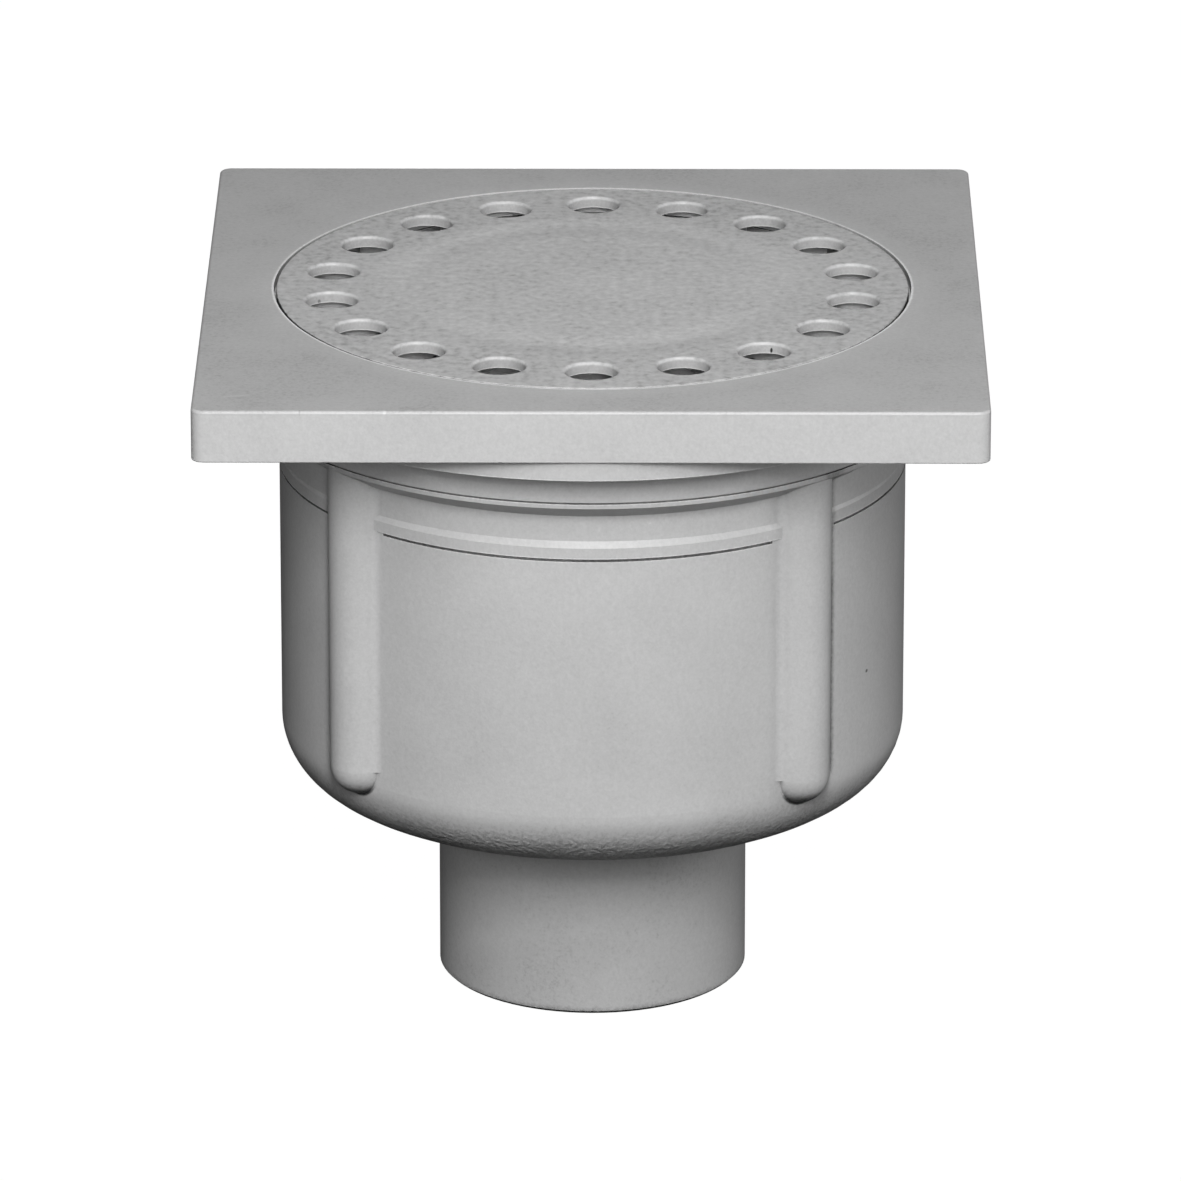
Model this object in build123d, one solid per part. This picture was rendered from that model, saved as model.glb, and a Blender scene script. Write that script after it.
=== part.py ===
from build123d import *
from math import acos, atan2, degrees, sqrt
import os

# Gully trap for a yard floor, four plastic mouldings, sizes in millimetres
# The origin is the centre of the outlet's open end, and +Z is up
# The square frame lies along X and Y, and the body is turned a little under it

# Outlet spigot and the standpipe inside the body
spigot_radius = 40.3
spigot_wall = 3.0
spigot_length = 48.4
spigot_lead = 0.8

# Body of the trap, from the bowl up to the neck
body_radius = 81.4
body_wall = 3.2
crown_radius = 260.0
bowl_corner_radius = 17.0
wall_height = 70.3
bead_height = 4.6
bead_step = 0.8
bead_slope = 1.7
groove_height = 1.0
groove_depth = 0.7
band_height = 6.75
cone_height = 4.45
lip_height = 1.15
lip_overhang = 7.2
neck_wall = 3.2
neck_lead = 1.0
body_turn = -3.1

# Four hollow half-round ribs on the body
rib_count = 4
rib_radius = 7.8
rib_centre_inset = 1.5
rib_end_rise = 4.2
rib_flare = 2.8
first_rib_angle = 45.0

# Water seal and the bell that makes it
seal_depth = 50.0
bell_floor_gap = 12.0
bell_radius = 59.5
bell_wall = 2.5
bell_corner_radius = 8.0
bell_headroom = 19.0
lug_count = 4
lug_thickness = 2.6
lug_skirt = 10.0
lug_clearance = 0.6
lug_lead = 0.6
grip_length = 36.0
grip_thickness = 3.0
grip_height = 14.0
grip_corner = 5.0

# Square frame with its round collar
frame_side = 200.0
frame_depth = 13.65
frame_corner = 3.2
frame_edge = 0.8
frame_foot_edge = 0.4
skirt_wall = 3.0
plate_wall = 3.3
collar_depth = 28.65
collar_clearance = 0.3
collar_edge = 0.5
neck_gap = 1.0
guard_radius = 99.0
guard_wall = 3.0
guard_depth = 18.7
shelf_wall = 3.0
shelf_width = 2.5
corner_count = 4
first_corner_angle = 45.0
web_count = 8
web_thickness = 2.2
web_rise = 2.5

# Round grate that drops into the frame
grate_thickness = 2.9
grate_gap = 0.7
seat_radius = 82.4
grate_edge = 0.4
hole_count = 18
hole_radius = 6.7
hole_inset = 13.5
hole_edge = 0.8
ring_rib_radius = 50.0
ring_rib_depth = 7.0
hub_radius = 14.0
rib_depth = 4.6
rib_clearance = 0.5
rib_thickness = 2.0
spoke_count = 6

# How far a cut runs past the face that it opens
cut_past = 1.0

# Heights, each worked out from the one below it
crown_centre_z = spigot_length + sqrt(crown_radius ** 2 - spigot_radius ** 2)
bowl_corner_x = body_radius - bowl_corner_radius
bowl_corner_z = crown_centre_z - sqrt((crown_radius - bowl_corner_radius) ** 2 - bowl_corner_x ** 2)
bead_z = bowl_corner_z + wall_height
band_z = bead_z + bead_height
cone_z = band_z + band_height
lip_z = cone_z + cone_height
seat_z = lip_z + lip_height
top_z = seat_z + collar_depth
shelf_z = top_z - grate_thickness
neck_top_z = shelf_z - shelf_wall - neck_gap

# Radii that pieces share
lip_radius = body_radius + lip_overhang
neck_radius = lip_radius - neck_wall - collar_clearance
grate_radius = seat_radius - grate_gap
hole_circle_radius = grate_radius - hole_inset
throat_radius = seat_radius - shelf_width
bell_bore = bell_radius - bell_wall


def floor_z(radius):
    """Height of the bowl's inner floor at a distance from the axis."""
    return crown_centre_z - sqrt((crown_radius - body_wall) ** 2 - radius ** 2)


bell_rim_z = floor_z(bell_radius) + bell_floor_gap
standpipe_z = bell_rim_z + seal_depth
bell_top_z = standpipe_z + bell_headroom + bell_wall


def turned(outline):
    """Solid turned about the vertical axis from an outline in radius and height."""
    return revolve(Plane.XZ * make_face(outline), Axis.Z)


def tube(outer, inner, bottom, top):
    """Plain round tube between two heights."""
    wall = Circle(outer) - Circle(inner)
    return Pos(0, 0, bottom) * extrude(wall, top - bottom)


def around(count, first_angle=0.0):
    """Places spread evenly about the axis."""
    return PolarLocations(0, count, start_angle=first_angle)


def bowl_arcs(skin, start_angle):
    """Crown and corner of the bowl, a skin's depth inside its outer face."""
    blend_angle = degrees(atan2(bowl_corner_z - crown_centre_z, bowl_corner_x))
    crown = CenterArc((0, crown_centre_z), crown_radius - skin, start_angle, blend_angle - start_angle)
    corner = CenterArc((bowl_corner_x, bowl_corner_z), bowl_corner_radius - skin, blend_angle, -blend_angle)
    return crown, corner


def body_outside():
    """Outer form of the body: spigot, bowl, wall, groove, band, lip and neck."""
    meet_angle = -degrees(acos(spigot_radius / crown_radius))
    crown, corner = bowl_arcs(0, meet_angle)
    spigot = Polyline(
        (0, 0),
        (spigot_radius - spigot_lead, 0),
        (spigot_radius, spigot_lead),
        crown @ 0,
    )
    upper = Polyline(
        corner @ 1,
        (body_radius, bead_z - groove_height),
        (body_radius - groove_depth, bead_z - groove_height),
        (body_radius - groove_depth, bead_z),
        (body_radius, bead_z),
        (body_radius, cone_z),
        (lip_radius, lip_z),
        (lip_radius, seat_z),
        (neck_radius, seat_z),
        (neck_radius, neck_top_z - neck_lead),
        (neck_radius - neck_lead, neck_top_z),
        (0, neck_top_z),
        (0, 0),
    )
    return turned([spigot, crown, corner, upper])


def body_inside():
    """Room inside the body, one wall in from its outer form."""
    crown, corner = bowl_arcs(body_wall, -90)
    bore = body_radius - body_wall
    neck_bore = neck_radius - neck_wall
    upper = Polyline(
        corner @ 1,
        (bore, cone_z),
        (neck_bore, lip_z),
        (neck_bore, neck_top_z + cut_past),
        (0, neck_top_z + cut_past),
        crown @ 0,
    )
    return turned([crown, corner, upper])


def beads():
    """Bead above the groove, which stands out front and back and dies away at the sides."""
    root = body_radius - body_wall / 2
    ring = turned(Polyline(
        (root, bead_z),
        (body_radius, bead_z),
        (body_radius, band_z - bead_slope),
        (body_radius - bead_step, band_z),
        (root, band_z),
        (root, bead_z),
    ))
    return [Rot(0, 0, body_turn) * Pos(0, shift, 0) * ring for shift in (-bead_step, bead_step)]


def rib_post(radius, top):
    """Round post with a ball end, the form of one rib or of the hollow inside it."""
    foot_z = bowl_corner_z + rib_end_rise
    post = Pos(0, 0, foot_z) * extrude(Circle(radius), top - foot_z)
    ball = Pos(0, 0, foot_z) * Sphere(radius)
    return Pos(body_radius - rib_centre_inset, 0, 0) * (post + ball)


def rib_root():
    """Flared root of one rib, where it runs into the wall on both sides."""
    foot_z = bowl_corner_z + rib_end_rise
    rib = Pos(body_radius - rib_centre_inset, 0) * Circle(rib_radius)
    outline = fillet((Circle(body_radius) + rib).vertices().group_by(Axis.X)[-1], rib_flare)
    half_width = rib_radius + rib_flare
    window = Pos(body_radius, 0) * Rectangle(2 * rib_radius, 2 * half_width)
    return Pos(0, 0, foot_z) * extrude(outline & window, lip_z - foot_z)


def trap_body():
    """One moulding: bowl, ribbed wall, neck, outlet spigot and standpipe."""
    places = around(rib_count, first_rib_angle + body_turn)
    outside = body_outside() + beads()
    outside += [place * rib_post(rib_radius, lip_z) for place in places]
    outside += [place * rib_root() for place in places]
    room = body_inside()
    room += [place * rib_post(rib_radius - body_wall, cone_z) for place in places]
    standpipe = tube(spigot_radius, spigot_radius - spigot_wall, spigot_length, standpipe_z)
    bore_height = standpipe_z + 2 * cut_past
    bore = Pos(0, 0, -cut_past) * extrude(Circle(spigot_radius - spigot_wall), bore_height)
    return outside - room + standpipe - bore


def lug():
    """Web under the bell's roof that sits on the standpipe and centres on it."""
    roof_z = bell_top_z - bell_wall / 2
    inner = spigot_radius - spigot_wall + lug_lead
    outer = bell_bore + bell_wall / 2
    side = spigot_radius + lug_clearance
    outline = Polyline(
        (inner, standpipe_z),
        (inner, roof_z),
        (outer - bell_corner_radius, roof_z),
        (outer, roof_z - bell_corner_radius),
        (outer, standpipe_z - lug_skirt),
        (side + lug_lead, standpipe_z - lug_skirt),
        (side, standpipe_z - lug_skirt + lug_lead),
        (side, standpipe_z),
        (inner, standpipe_z),
    )
    return extrude(Plane.XZ * make_face(outline), lug_thickness / 2, both=True)


def grip():
    """Upright tab on the bell's roof to lift it by."""
    face = Rectangle(grip_length, grip_height + bell_wall / 2, align=(Align.CENTER, Align.MIN))
    face = fillet(face.vertices().group_by(Axis.Y)[-1], grip_corner)
    tab = extrude(Plane.XZ * face, grip_thickness / 2, both=True)
    return Pos(0, 0, bell_top_z - bell_wall / 2) * tab


def bell():
    """Cup turned upside down over the standpipe, its rim below the water line."""
    outside = Pos(0, 0, bell_rim_z) * extrude(Circle(bell_radius), bell_top_z - bell_rim_z)
    outside = fillet(outside.edges().group_by(Axis.Z)[-1], bell_corner_radius)
    room_height = bell_top_z - bell_wall - bell_rim_z
    room = Pos(0, 0, bell_rim_z) * extrude(Circle(bell_bore), room_height)
    room = fillet(room.edges().group_by(Axis.Z)[-1], bell_corner_radius - bell_wall)
    lugs = [place * lug() for place in around(lug_count, first_rib_angle)]
    return outside - room + lugs + grip()


def frame_shell():
    """Square plate with its skirt, and the hollow under it."""
    side = frame_side - 2 * skirt_wall
    block = Pos(0, 0, top_z - frame_depth) * extrude(
        RectangleRounded(frame_side, frame_side, frame_corner), frame_depth
    )
    block = fillet(block.edges().group_by(Axis.Z)[-1], frame_edge)
    block = fillet(block.edges().group_by(Axis.Z)[0], frame_foot_edge)
    hollow = Pos(0, 0, top_z - frame_depth) * extrude(Rectangle(side, side), frame_depth - plate_wall)
    return block - hollow, hollow


def frame_webs(hollow):
    """Webs from the collar to the guard ring, and one into each corner."""
    bottom = top_z - frame_depth + web_rise
    height = top_z - plate_wall / 2 - bottom
    inner = lip_radius - web_thickness / 2
    outer = guard_radius - guard_wall / 2
    seat = (Align.MIN, Align.CENTER, Align.MIN)
    reach = Pos(inner, 0, bottom) * Box(outer - inner, web_thickness, height, align=seat)
    corner = Pos(outer, 0, bottom) * Box(frame_side, web_thickness, height, align=seat)
    webs = [place * reach for place in around(web_count)]
    corners = [place * corner & hollow for place in around(corner_count, first_corner_angle)]
    return webs, corners


def frame_collar():
    """Collar that stands on the body's lip, its lower edge chamfered so that the joint shows."""
    collar = tube(lip_radius, neck_radius + collar_clearance, seat_z, top_z - plate_wall / 2)
    foot = collar.edges().group_by(Axis.Z)[0].sort_by(SortBy.RADIUS)[-1]
    return chamfer(foot, collar_edge)


def frame():
    """Square frame with guard ring, collar over the body's neck and grate seat."""
    shell, hollow = frame_shell()
    webs, corners = frame_webs(hollow)
    solid = shell
    solid += tube(guard_radius, guard_radius - guard_wall, top_z - guard_depth, top_z - plate_wall / 2)
    solid += frame_collar()
    solid += tube(lip_radius, throat_radius, shelf_z - shelf_wall, top_z - plate_wall / 2)
    solid += webs
    solid += corners
    pocket = Pos(0, 0, shelf_z) * extrude(Circle(seat_radius), grate_thickness + cut_past)
    throat_height = shelf_wall + 2 * cut_past
    throat = Pos(0, 0, shelf_z - shelf_wall - cut_past) * extrude(Circle(throat_radius), throat_height)
    return solid - pocket - throat


def grate_plate():
    """Flat disc with a ring of round water holes, their upper edges rounded."""
    disc = Pos(0, 0, shelf_z) * extrude(Circle(grate_radius), grate_thickness)
    disc = fillet(disc.edges().group_by(Axis.Z)[-1], grate_edge)
    holes = PolarLocations(hole_circle_radius, hole_count, start_angle=90)
    punch_height = grate_thickness + 2 * cut_past
    punch = Pos(0, 0, shelf_z - cut_past) * extrude(Circle(hole_radius), punch_height)
    disc -= [place * punch for place in holes]
    rims = disc.edges().filter_by(GeomType.CIRCLE).group_by(Axis.Z)[-1]
    rims = rims.filter_by(lambda edge: edge.radius < 2 * hole_radius)
    return fillet(rims, hole_edge)


def grate_ribs():
    """Ring rib, hub, spokes, and ribs between the holes that centre the grate in the throat."""
    under = shelf_z + grate_thickness / 2
    rib_end = throat_radius - rib_clearance
    rib_bottom = shelf_z - rib_depth
    ribs = tube(ring_rib_radius, ring_rib_radius - rib_thickness, shelf_z - ring_rib_depth, under)
    ribs += tube(hub_radius, hub_radius - rib_thickness, rib_bottom, under)
    height = under - rib_bottom
    seat = (Align.MIN, Align.CENTER, Align.MIN)
    ring_middle = ring_rib_radius - rib_thickness / 2
    outer_rib = Pos(ring_middle, 0, rib_bottom) * Box(rib_end - ring_middle, rib_thickness, height, align=seat)
    spoke = Box(ring_rib_radius - hub_radius, rib_thickness, height, align=seat)
    spoke = Pos(hub_radius - rib_thickness / 2, 0, rib_bottom) * spoke
    ribs += [place * outer_rib for place in around(hole_count, 90 + 180 / hole_count)]
    ribs += [place * spoke for place in around(spoke_count, 90)]
    return ribs


def grate():
    """One moulding: perforated plate with its ribs underneath."""
    return grate_plate() + grate_ribs()


pieces = {
    "trap_body": trap_body(),
    "frame": frame(),
    "grate": grate(),
    "bell": bell(),
}

os.makedirs("parts", exist_ok=True)
for name, piece in pieces.items():
    export_step(piece, f"parts/{name}.step")
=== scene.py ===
from math import cos, radians, sin

import bpy
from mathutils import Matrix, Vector

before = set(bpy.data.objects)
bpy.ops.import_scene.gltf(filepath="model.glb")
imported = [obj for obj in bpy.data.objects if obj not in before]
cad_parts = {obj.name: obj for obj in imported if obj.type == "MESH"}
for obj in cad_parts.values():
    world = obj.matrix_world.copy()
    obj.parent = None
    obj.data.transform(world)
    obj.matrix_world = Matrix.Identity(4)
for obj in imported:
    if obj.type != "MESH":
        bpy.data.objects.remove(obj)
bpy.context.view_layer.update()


# Trap body: one injection moulding in rigid grey PVC, with bowl, ribbed wall, lip and outlet spigot one wall thick.
# It leaves the tool satin and faintly clouded, which the eye reads as soft, even grey.
# The bowl's underside keeps a coarser, orange-peel skin from the spark-eroded tool.

MM = 0.001

# Sizes in millimetres: heights are from the spigot's open end, and radii are from the trap's axis
spigot_top = 47.5
bowl_turns_under, bowl_lowest_seen = 70, 57
peel_starts, peel_size, peel_height = 67, 1.2, 0.36
wall_pales_from, wall_palest_at = 110, 150
inner_wall_radius, inner_wall_foot = 79, 76
rib_end_centre = (56.5, 56.5, 75.1)
rib_radius = 8
rib_turn_degrees = 3.1


def linear(code):
    """sRGB hex code to the linear colour that a shader takes."""
    parts = [int(code[i:i + 2], 16) / 255 for i in (1, 3, 5)]
    return tuple(p / 12.92 if p <= 0.04045 else ((p + 0.055) / 1.055) ** 2.4 for p in parts) + (1,)


def node(tree, kind, inputs=None, output=0, **settings):
    """Adds a shader node with its settings, fills or links its inputs, and gives one of its outputs.

    A Map Range reads from inputs 1 to 2 and gives from inputs 3 to 4, which are 0 and 1 where left out.
    """
    made = tree.nodes.new("ShaderNode" + kind)
    for name, value in settings.items():
        setattr(made, name, value)
    for socket, value in (inputs or {}).items():
        if isinstance(value, bpy.types.NodeSocket):
            tree.links.new(value, made.inputs[socket])
        else:
            made.inputs[socket].default_value = value
    return made.outputs[output] if made.outputs else made


def add_mark(tree, place, shade, centre, half, turn, strength):
    """Soft-edged mark at a place on the piece in millimetres, turned about the vertical, pale or dark."""
    inputs = {"Vector": place, "Location": [v * MM for v in centre], "Rotation": (0, 0, radians(turn)),
              "Scale": [v * MM for v in half]}
    near = node(tree, "Mapping", inputs, vector_type="TEXTURE")
    away = node(tree, "VectorMath", {0: near}, output="Value", operation="LENGTH")
    depth = node(tree, "MapRange", {0: away, 1: 1.0, 2: 0.5, 3: 0.0, 4: strength},
                 interpolation_type="SMOOTHSTEP")
    return node(tree, "Math", {0: shade, 1: depth}, operation="ADD")


def moulded_pvc(name, dark, light, roughness, mottle_size, mottle_share,
                marks=(), relief=None, tone=None, wear=None):
    """Rigid PVC: clouded by the melt's flow, mottled and grained, with painted shade in creases and painted
    highlights on edges.

    The mottle's size is in millimetres. relief gives millimetres of height, tone gives lightness, and wear
    gives the share of the mottle that shows, each from the place on the piece.
    """
    cloud_size, cloud_share = 22, 0.6
    # The real grain is too fine to show, so it is drawn this coarse
    grain_size, grain_share = 0.6, 0.4
    plain_shade, darkest_shade, palest_shade = 0.5, -0.5, 2.0
    crease_reach, crease_painted_shade = 3.5, 1.3
    edge_reach, edge_painted_highlight = 0.9, 1.0
    mottle_height, grain_height = 0.05 * mottle_share, 0.012
    # The darkest stop takes dark marks and painted shade, the palest stop pale marks and painted highlights
    grime_and_painted_shade, scuff_and_painted_highlight = "#303030", "#F2F2F2"

    material = bpy.data.materials.new(name)
    material.use_nodes = True
    tree = material.node_tree
    shader = tree.nodes["Principled BSDF"]
    place = node(tree, "TexCoord", output="Object")
    cloud = node(tree, "TexNoise", {"Vector": place, "Scale": 1 / (cloud_size * MM), "Detail": 3.0})
    mottle = node(tree, "TexNoise", {"Vector": place, "Scale": 1 / (mottle_size * MM), "Detail": 3.0})
    grain = node(tree, "TexNoise", {"Vector": place, "Scale": 1 / (grain_size * MM), "Detail": 2.0})
    shade = node(tree, "Math", {0: grain, 1: grain_share, 2: plain_shade}, operation="MULTIPLY_ADD")
    uneven = node(tree, "Math", {0: mottle, 1: 0.5}, operation="SUBTRACT")
    if wear:
        uneven = node(tree, "Math", {0: uneven, 1: wear(tree, place)}, operation="MULTIPLY")
    shade = node(tree, "Math", {0: uneven, 1: mottle_share, 2: shade}, operation="MULTIPLY_ADD")
    shade = node(tree, "Math", {0: cloud, 1: cloud_share, 2: shade}, operation="MULTIPLY_ADD")
    if tone:
        shade = node(tree, "Math", {0: shade, 1: tone(tree, place)}, operation="ADD")
    # Painted shade in creases and recesses, where ambient occlusion is low
    crease = node(tree, "AmbientOcclusion", {"Distance": crease_reach * MM}, output="AO", samples=8)
    crease = node(tree, "MapRange", {0: crease, 1: 0.9, 2: 0.35, 3: 0.0, 4: crease_painted_shade},
                  interpolation_type="SMOOTHSTEP")
    shade = node(tree, "Math", {0: shade, 1: crease}, operation="SUBTRACT")
    # Painted highlight along convex edges
    edge = node(tree, "AmbientOcclusion", {"Distance": edge_reach * MM}, output="AO", samples=8, inside=True)
    edge = node(tree, "MapRange", {0: edge, 1: 0.8, 2: 0.3, 3: 0.0, 4: edge_painted_highlight},
                interpolation_type="SMOOTHSTEP")
    shade = node(tree, "Math", {0: shade, 1: edge}, operation="ADD")
    for one_mark in marks:
        shade = add_mark(tree, place, shade, *one_mark)
    share = node(tree, "MapRange", {0: shade, 1: darkest_shade, 2: palest_shade})
    colour = node(tree, "ValToRGB", {"Fac": share})
    stops = colour.node.color_ramp.elements
    stops[0].color = linear(grime_and_painted_shade)
    stops[1].position = 0.5
    stops[1].color = linear(dark)
    stops.new(0.8).color = linear(light)
    stops.new(1.0).color = linear(scuff_and_painted_highlight)
    height = node(tree, "Math", {0: mottle, 1: mottle_height}, operation="MULTIPLY")
    height = node(tree, "Math", {0: grain, 1: grain_height, 2: height}, operation="MULTIPLY_ADD")
    if relief:
        height = node(tree, "Math", {0: height, 1: relief(tree, place)}, operation="ADD")
    tree.links.new(colour, shader.inputs["Base Color"])
    tree.links.new(node(tree, "Bump", {"Distance": MM, "Height": height}), shader.inputs["Normal"])
    shader.inputs["Roughness"].default_value = roughness
    shader.inputs["IOR"].default_value = 1.53
    return material


def finish_node(name, material):
    """Gives a carried-over piece its finish."""
    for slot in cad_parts[name].material_slots:
        slot.material = material


def orange_peel(tree, place):
    """Pebbled skin on the bowl, deepest round the outlet and fading up the wall."""
    level = node(tree, "SeparateXYZ", {0: place}, output="Z")
    fade = node(tree, "MapRange", {0: level, 1: peel_starts * MM, 2: bowl_lowest_seen * MM},
                interpolation_type="SMOOTHSTEP")
    bowl = node(tree, "MapRange", {0: level, 1: spigot_top * MM, 2: (spigot_top + 1) * MM},
                interpolation_type="SMOOTHSTEP")
    lumps = node(tree, "TexNoise", {"Vector": place, "Scale": 1 / (peel_size * MM), "Detail": 1.0})
    lumps = node(tree, "MapRange", {0: lumps, 1: 0.3, 2: 0.8, 3: 0.0, 4: peel_height})
    lumps = node(tree, "Math", {0: lumps, 1: fade}, operation="MULTIPLY")
    return node(tree, "Math", {0: lumps, 1: bowl}, operation="MULTIPLY")


def rib_painted_shade(tree, place):
    """Painted shade along each rib's outer root and under its ball end, with the four ribs folded into one."""
    dullness, under_end = -0.9, 1.4
    turned = node(tree, "Mapping", {"Vector": place, "Rotation": (0, 0, radians(rib_turn_degrees))})
    folded = node(tree, "VectorMath", {0: turned}, operation="ABSOLUTE")
    centre = [v * MM for v in rib_end_centre]
    away = node(tree, "VectorMath", {0: folded, 1: centre}, operation="SUBTRACT")
    x, y, z = node(tree, "SeparateXYZ", {0: away}).node.outputs
    beneath = node(tree, "Math", {0: z, 1: 0.0}, operation="MINIMUM")
    across = node(tree, "CombineXYZ", {0: x, 1: y, 2: beneath})
    reach = node(tree, "VectorMath", {0: across}, output="Value", operation="LENGTH")

    near = node(tree, "MapRange", {0: reach, 1: (rib_radius + 4) * MM, 2: (rib_radius + 1.9) * MM},
                interpolation_type="SMOOTHSTEP")
    root = node(tree, "MapRange", {0: reach, 1: (rib_radius - 0.15) * MM, 2: (rib_radius + 0.3) * MM})
    outer = node(tree, "Math", {0: x, 1: y}, operation="SUBTRACT")
    outer = node(tree, "MapRange", {0: outer, 1: -1 * MM, 2: 2 * MM})
    straight = node(tree, "MapRange", {0: z, 1: -5 * MM, 2: -1 * MM}, interpolation_type="SMOOTHSTEP")
    side = node(tree, "Math", {0: outer, 1: root}, operation="MULTIPLY")
    side = node(tree, "Math", {0: side, 1: near}, operation="MULTIPLY")
    side = node(tree, "Math", {0: side, 1: straight}, operation="MULTIPLY")

    end = node(tree, "MapRange", {0: z, 1: -2.5 * MM, 2: -6.5 * MM, 4: under_end},
               interpolation_type="SMOOTHSTEP")
    skin = node(tree, "MapRange", {0: reach, 1: (rib_radius + 0.7) * MM, 2: (rib_radius + 0.2) * MM})
    end = node(tree, "Math", {0: end, 1: skin}, operation="MULTIPLY")

    cover = node(tree, "Math", {0: side, 1: end}, operation="MAXIMUM")
    return node(tree, "Math", {0: cover, 1: dullness}, operation="MULTIPLY")


def distance_from_axis(tree, place):
    """How far a place lies from the trap's axis, in metres."""
    flat = node(tree, "VectorMath", {0: place, 1: (1, 1, 0)}, operation="MULTIPLY")
    return node(tree, "VectorMath", {0: flat}, output="Value", operation="LENGTH")


def body_tone(tree, place):
    """Painted light toward the lip and on the inner wall, and painted shade at the ribs' roots and where the bowl
    turns under.
    """
    spigot_share = 0.15
    level = node(tree, "SeparateXYZ", {0: place}, output="Z")
    # Painted light up the wall toward the lip
    upper = node(tree, "MapRange", {0: level, 1: wall_pales_from * MM, 2: wall_palest_at * MM, 3: 0.0, 4: 0.25},
                 interpolation_type="SMOOTHSTEP")
    # Painted shade where the bowl turns under, with a share of it on the spigot
    under = node(tree, "MapRange", {0: level, 1: bowl_turns_under * MM, 2: bowl_lowest_seen * MM, 3: 0.0, 4: -1.0})
    bowl = node(tree, "MapRange", {0: level, 1: spigot_top * MM, 2: (spigot_top + 0.5) * MM, 3: spigot_share})
    level_tone = node(tree, "Math", {0: under, 1: bowl, 2: upper}, operation="MULTIPLY_ADD")
    radius = distance_from_axis(tree, place)
    # Painted light on the inner wall, seen through the grate's holes
    inner_painted_light = node(tree, "MapRange", {0: radius, 1: (inner_wall_radius + 0.4) * MM, 2: (inner_wall_radius - 0.4) * MM,
                                    4: 1.1})
    within = node(tree, "MapRange", {0: level, 1: inner_wall_foot * MM, 2: (inner_wall_foot + 4) * MM})
    level_tone = node(tree, "Math", {0: inner_painted_light, 1: within, 2: level_tone}, operation="MULTIPLY_ADD")
    return node(tree, "Math", {0: level_tone, 1: rib_painted_shade(tree, place)}, operation="ADD")


# A speck on the right, a nick on the right rib and a smear on the spigot.
# Each mark is a centre and half sizes in millimetres, a turn in degrees, and how much paler it is.
body_marks = [
    ((70.9, -40.1, 95.7), (0.8, 0.8, 0.6), 0, -1.2),
    ((57.9, -64.9, 118.2), (0.9, 0.9, 0.5), 0, 0.6),
    ((17.9, -36.1, 20.6), (5, 3, 1.2), 0, -0.1),
]
body_plastic = moulded_pvc("satin_grey_pvc_body", dark="#BCBCBC", light="#CECECE", roughness=0.5,
                           mottle_size=1.2, mottle_share=0.7, marks=body_marks, relief=orange_peel, tone=body_tone)
finish_node("trap_body", body_plastic)


# Square frame: one injection moulding in the same grey PVC, slipped over the body's neck.
# It is a little glossier than the body, and the ring round the grate is paler; its skirt has painted light and its
# top painted shade.
# Use has scratched and nicked its top and chipped the skirt's foot, and the seat's edge has a painted highlight.

frame_top, skirt_foot, skirt_face = 186.8, 173.3, -100
seat_radius, paler_ring_radius = 83, 92


def frame_tone(tree, place):
    """Painted light on the skirt and painted shade on the top, a paler ring on the top round the grate, and a
    painted highlight on the seat's edge.
    """
    radius = distance_from_axis(tree, place)
    ring = node(tree, "MapRange", {0: radius, 1: paler_ring_radius * MM, 2: seat_radius * MM, 4: 0.2},
                interpolation_type="SMOOTHSTEP")
    # Painted highlight along the seat's edge
    seat_edge_highlight = node(tree, "MapRange", {0: radius, 1: (seat_radius + 0.2) * MM, 2: (seat_radius - 0.2) * MM, 4: 0.8})
    ring = node(tree, "Math", {0: ring, 1: seat_edge_highlight}, operation="ADD")
    level = node(tree, "SeparateXYZ", {0: place}, output="Z")
    # Painted shade on the top face and painted light on the skirt
    skirt = node(tree, "MapRange", {0: level, 1: (frame_top - 0.4) * MM, 2: (frame_top - 1.2) * MM,
                                    3: -0.2, 4: 0.2})
    return node(tree, "Math", {0: ring, 1: skirt}, operation="ADD")


# A scratch by the front left corner, two nicks on the front edge, three chips and a scratch on the right
frame_marks = [
    ((-89, -88, frame_top), (5, 0.8, 0.5), 12, 0.3),
    ((-72.7, -99.6, 186.2), (0.35, 0.8, 1.2), 0, -0.5),
    ((-51.5, -99.6, 186.4), (0.6, 0.8, 0.8), 0, 0.7),
    ((-66, skirt_face, skirt_foot), (1.6, 0.8, 0.5), 0, -0.8),
    ((-31, skirt_face, skirt_foot), (0.8, 0.8, 0.4), 0, -0.8),
    ((-22.7, skirt_face, skirt_foot), (0.9, 0.8, 0.4), 0, -0.8),
    ((64.6, 50.7, frame_top), (4.5, 0.45, 0.5), -64, -0.35),
]
frame_plastic = moulded_pvc("satin_grey_pvc_frame", dark="#BCBCBC", light="#CECECE", roughness=0.45,
                            mottle_size=1.2, mottle_share=0.7, marks=frame_marks, tone=frame_tone)
finish_node("frame", frame_plastic)


# Grate: one injection moulding in grey PVC, dropped into the frame's seat.
# Its face is coarsely mottled by wear, and a shallow sink runs round it over the ring rib.
# The hole walls are plain and have painted shade, and the underside has painted light.

grate_underside = 184
ring_rib_radius, sink_half_width, sink_depth = 49, 9, 0.45


def ring_sink(tree, place):
    """Shallow sink in the plate's face, over the rib that joins the spokes."""
    radius = distance_from_axis(tree, place)
    away = node(tree, "Math", {0: radius, 1: ring_rib_radius * MM}, operation="SUBTRACT")
    away = node(tree, "Math", {0: away}, operation="ABSOLUTE")
    return node(tree, "MapRange", {0: away, 1: 0.0, 2: sink_half_width * MM, 3: -sink_depth, 4: 0.0},
                interpolation_type="SMOOTHSTEP")


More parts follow.
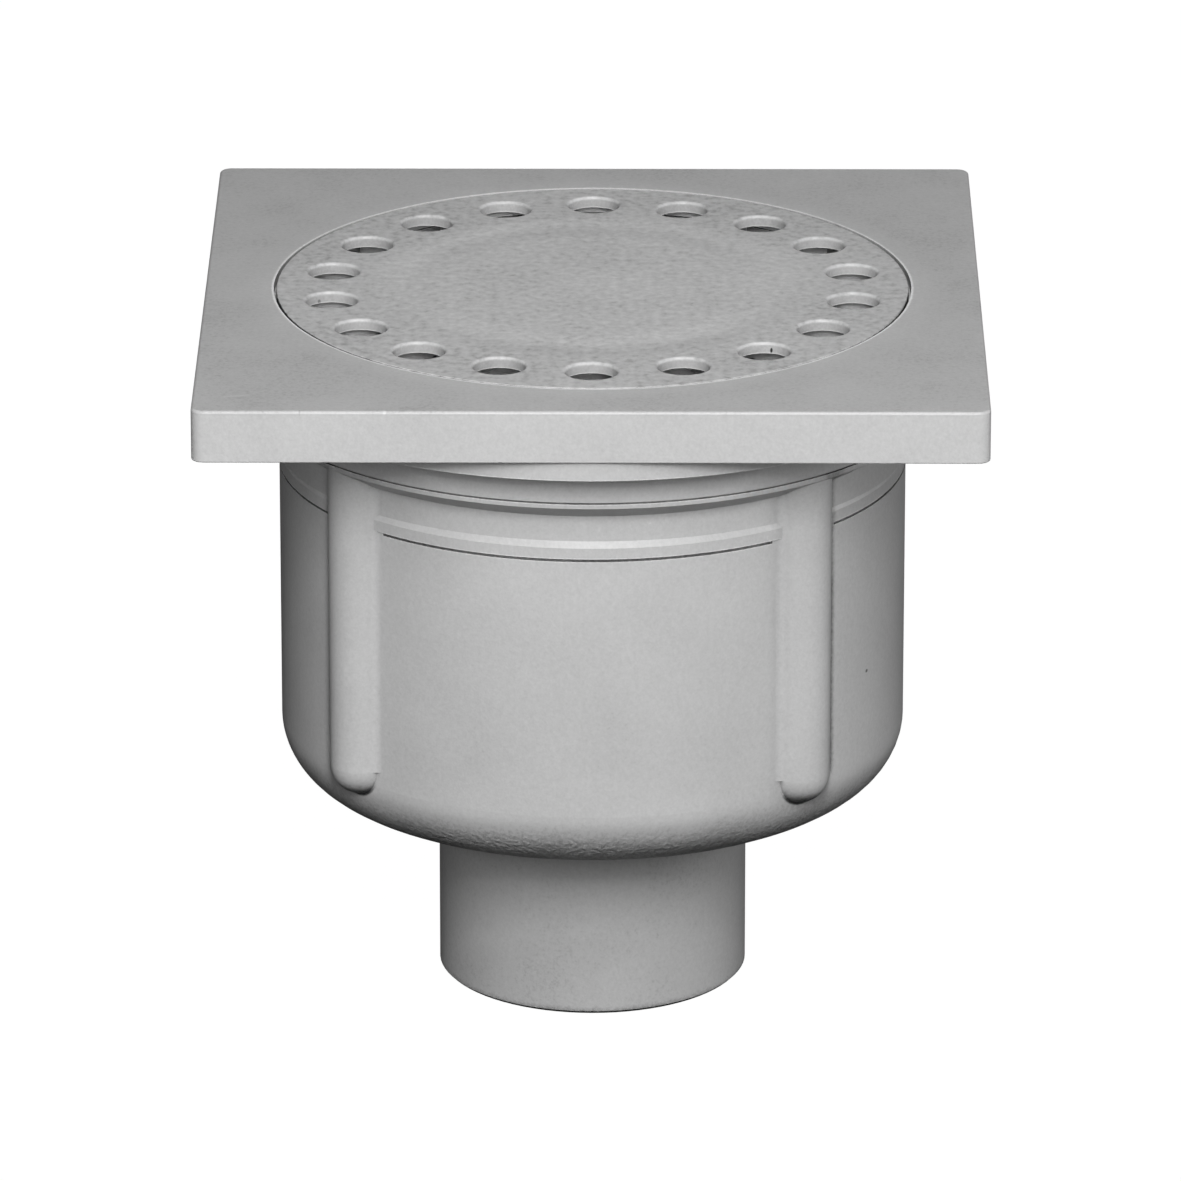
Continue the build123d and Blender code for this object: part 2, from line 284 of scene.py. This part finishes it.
def grate_tone(tree, place):
    """Painted shade toward the edge and on the hole walls, and painted light on the underside."""
    radius = distance_from_axis(tree, place)
    # Painted shade toward the plate's edge
    band = node(tree, "MapRange", {0: radius, 1: 48 * MM, 2: 62 * MM, 3: 0.0, 4: -0.2},
                interpolation_type="SMOOTHSTEP")
    level = node(tree, "SeparateXYZ", {0: place}, output="Z")
    # Painted shade on the hole walls
    walls = node(tree, "MapRange", {0: level, 1: (frame_top - 0.2) * MM, 2: (frame_top - 1) * MM,
                                    3: 0.0, 4: -0.3})
    # Painted light on the underside, seen through the holes
    under = node(tree, "MapRange", {0: level, 1: (grate_underside + 0.1) * MM, 2: (grate_underside - 0.1) * MM,
                                    3: 0.0, 4: 1.1})
    band = node(tree, "Math", {0: band, 1: walls}, operation="ADD")
    return node(tree, "Math", {0: band, 1: under}, operation="ADD")


def face_wear(tree, place):
    """The mottling covers the grate's face and stops at the rounded rims of its holes."""
    level = node(tree, "SeparateXYZ", {0: place}, output="Z")
    return node(tree, "MapRange", {0: level, 1: (frame_top - 0.7) * MM, 2: (frame_top - 0.2) * MM, 3: 0.15})


# Two specks on the far walls of holes
grate_marks = [
    ((45.7, -45.9, 184.8), (0.4, 0.9, 0.9), 0, -1.2),
    ((-70.5, -6.0, 184.4), (0.5, 0.9, 0.8), 0, -0.6),
]
grate_plastic = moulded_pvc("mottled_grey_pvc_grate", dark="#C0C0C0", light="#D8D8D8", roughness=0.5,
                            mottle_size=2.2, mottle_share=1.8, marks=grate_marks, relief=ring_sink,
                            tone=grate_tone, wear=face_wear)
finish_node("grate", grate_plastic)


# Bell: one injection moulding in grey PVC, standing over the outlet's standpipe and lifted out for cleaning.
# It is the palest piece: its colours are painted light, which softens the dark in the grate's holes.

# Pale colours as painted light in the trap's interior
bell_plastic = moulded_pvc("satin_grey_pvc_bell", dark="#E6E6E6", light="#F0F0F0", roughness=0.5,
                           mottle_size=1.2, mottle_share=0.7)
finish_node("bell", bell_plastic)


# Floor: plain sheet that the trap stands on, white to the camera.
# It throws hardly any light back up under the bowl.

floor_side = 12


def shown_share(tree):
    """How far a ray sees the white surround: fully from the camera, faintly in the plastic's sheen."""
    sheen_share = 0.05
    rays = node(tree, "LightPath").node.outputs
    sheen = node(tree, "Math", {0: rays["Is Glossy Ray"], 1: sheen_share}, operation="MULTIPLY")
    clear = node(tree, "Math", {0: rays["Is Camera Ray"], 1: rays["Is Transmission Ray"]}, operation="MAXIMUM")
    return node(tree, "Math", {0: clear, 1: sheen}, operation="MAXIMUM")


bpy.ops.mesh.primitive_plane_add(size=floor_side)
floor = bpy.context.object
floor.name = "floor"
paper = bpy.data.materials.new("white_floor")
paper.use_nodes = True
tree = paper.node_tree
tree.nodes.clear()
matte = node(tree, "BsdfDiffuse", {"Color": linear("#1C1C1C")})
glow = node(tree, "Emission", {"Color": linear("#FFFFFF"), "Strength": 1.0})
bright = node(tree, "AddShader", {0: matte, 1: glow})
surface = node(tree, "MixShader", {0: shown_share(tree), 1: matte, 2: bright})
node(tree, "OutputMaterial", {"Surface": surface})
floor.data.materials.append(paper)


# Studio light: soft lights in line with the camera, one from each side, one overhead and one behind.
# The surround gives no light, and shows white to the camera and faintly in the plastic's sheen.

world = bpy.data.worlds.new("surround")
bpy.context.scene.world = world
world.use_nodes = True
tree = world.node_tree
tree.nodes.clear()
dim = node(tree, "Background", {"Color": linear("#FFFFFF"), "Strength": 0.0})
white = node(tree, "Background", {"Color": linear("#FFFFFF"), "Strength": 1.0})
surround = node(tree, "MixShader", {0: shown_share(tree), 1: dim, 2: white})
node(tree, "OutputWorld", {"Surface": surround})

# Where the lamps and the camera point, at the middle of the trap
aim = Vector((-0.00053, 0, 0.103))


def direction(turn, rise):
    """Unit vector away from the trap, turned from its front to the right and raised, in radians."""
    return Vector((sin(turn) * cos(rise), -cos(turn) * cos(rise), sin(rise)))


def lamp(name, azimuth, elevation, distance, width, height, power):
    """Rectangular soft lamp pointed at the trap: angles in degrees, azimuth 0 in front, metres and watts."""
    data = bpy.data.lights.new(name, "AREA")
    data.shape = "RECTANGLE"
    data.size = width
    data.size_y = height
    data.energy = power
    made = bpy.data.objects.new(name, data)
    bpy.context.scene.collection.objects.link(made)
    away = direction(radians(azimuth), radians(elevation))
    made.location = aim + away * distance
    made.rotation_euler = away.to_track_quat("Z", "Y").to_euler()
    return made


lamp("key", 1, 34, 1.6, 0.2, 0.45, 13.4)
lamp("key_high", 6, 52, 1.6, 0.2, 0.45, 6.4)
lamp("overhead", 5, 72, 1.1, 0.3, 0.3, 0.8)
lamp("low", 4, 20, 1.6, 0.2, 0.45, 4.4)
lamp("camera_side", 0, 20, 2.4, 0.3, 0.6, 5.4)
lamp("right", 88, 15, 1.1, 0.3, 0.3, 2.5)
lamp("left", -60, 18, 1.1, 0.3, 0.3, 1.0)
lamp("behind", 180, 5, 1.6, 0.6, 0.3, 20).visible_glossy = False


# Camera: a long lens, twenty degrees above the horizon and square on to the frame's front.
# Its lens, distance and angles were fitted to the frame's corners and the body's rings.

sensor_width_mm, lens_mm = 36, 317.6
camera_turn, camera_rise = 0.0047, 0.3495
camera_distance = 2.722

camera_data = bpy.data.cameras.new("camera")
camera_data.sensor_width = sensor_width_mm
camera_data.lens = lens_mm
camera = bpy.data.objects.new("camera", camera_data)
bpy.context.scene.collection.objects.link(camera)
back = direction(camera_turn, camera_rise)
camera.location = aim + back * camera_distance
camera.rotation_euler = back.to_track_quat("Z", "Y").to_euler()
bpy.context.scene.camera = camera

bpy.context.scene.view_settings.view_transform = "Standard"
